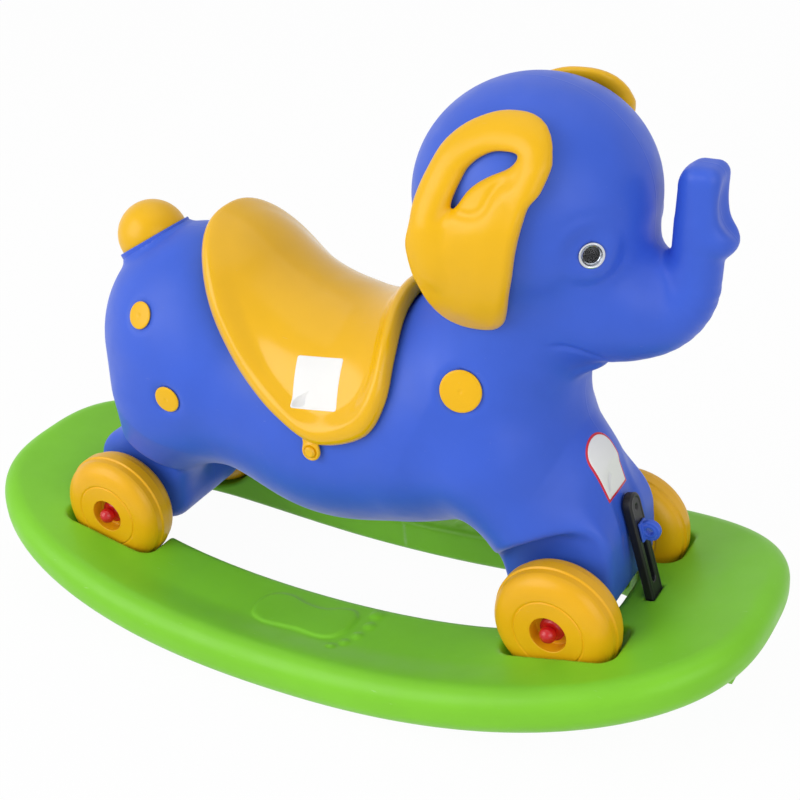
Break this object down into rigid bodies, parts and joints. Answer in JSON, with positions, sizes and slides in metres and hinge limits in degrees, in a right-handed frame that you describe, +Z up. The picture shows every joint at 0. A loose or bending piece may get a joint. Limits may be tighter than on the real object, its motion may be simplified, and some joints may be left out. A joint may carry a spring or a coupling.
{
  "type": "ride-on rocking elephant",
  "caption": "Ride-on toy elephant on turning wheels, locked by a sliding strap into a curved oval rocker, with a padded saddle and ear grips.",
  "frame": {"origin": "under the middle of the rocker, on the surface that it stands on", "axes": "+X forward towards the trunk, +Y to the elephant's left, +Z up"},
  "size_m": [0.8186, 0.376, 0.5405],
  "materials": {
    "body_plastic": "blue, fine grained, low sheen",
    "trim_plastic": "yellow, soft sheen",
    "saddle_plastic": "yellow, glossy",
    "wheel_plastic": "deep yellow, soft sheen",
    "rocker_plastic": "green, satin",
    "cap_plastic": "red, glossy",
    "strap_plastic": "black, satin",
    "axle_steel": "bright drawn steel",
    "eye_silver": "silvered rim",
    "eye_black": "black",
    "eye_clear": "clear dome"
  },
  "bodies": {
    "elephant": {"elephant_body": "body_plastic", "rocker": "rocker_plastic", "saddle": "saddle_plastic", "saddle_plug_right": "saddle_plastic", "saddle_plug_left": "saddle_plastic", "ear_right": "trim_plastic", "ear_left": "trim_plastic", "tow_eye": "body_plastic", "tail_ball": "trim_plastic", "rump_dot_upper_right": "trim_plastic", "rump_dot_upper_left": "trim_plastic", "rump_dot_lower_right": "trim_plastic", "rump_dot_lower_left": "trim_plastic", "shoulder_dot_right": "trim_plastic", "shoulder_dot_left": "trim_plastic", "eye_bezel_right": "eye_silver", "eye_bezel_left": "eye_silver", "eye_pupil_right": "eye_black", "eye_pupil_left": "eye_black", "eye_lens_right": "eye_clear", "eye_lens_left": "eye_clear", "axle_front": "axle_steel", "axle_rear": "axle_steel", "axle_cap_front_left": "cap_plastic", "axle_cap_front_right": "cap_plastic", "axle_cap_rear_left": "cap_plastic", "axle_cap_rear_right": "cap_plastic"},
    "front_left_wheel": {"wheel_front_left": "wheel_plastic"},
    "front_right_wheel": {"wheel_front_right": "wheel_plastic"},
    "rear_left_wheel": {"wheel_rear_left": "wheel_plastic"},
    "rear_right_wheel": {"wheel_rear_right": "wheel_plastic"},
    "latch": {"latch_bolt": "strap_plastic"}
  },
  "joints": [
    {"name": "front_left_wheel_spin", "type": "hinge", "parent": "elephant", "child": "front_left_wheel", "pos_m": [0.245, 0.084, 0.087], "axis": [0, 1, 0], "continuous": true},
    {"name": "front_right_wheel_spin", "type": "hinge", "parent": "elephant", "child": "front_right_wheel", "pos_m": [0.245, -0.084, 0.087], "axis": [0, 1, 0], "continuous": true},
    {"name": "rear_left_wheel_spin", "type": "hinge", "parent": "elephant", "child": "rear_left_wheel", "pos_m": [-0.239, 0.084, 0.087], "axis": [0, 1, 0], "continuous": true},
    {"name": "rear_right_wheel_spin", "type": "hinge", "parent": "elephant", "child": "rear_right_wheel", "pos_m": [-0.239, -0.084, 0.087], "axis": [0, 1, 0], "continuous": true},
    {"name": "latch_slide", "type": "slide", "parent": "elephant", "child": "latch", "axis": [-0.2377, 0, 0.9713], "range_m": [0, 0.022]}
  ]
}
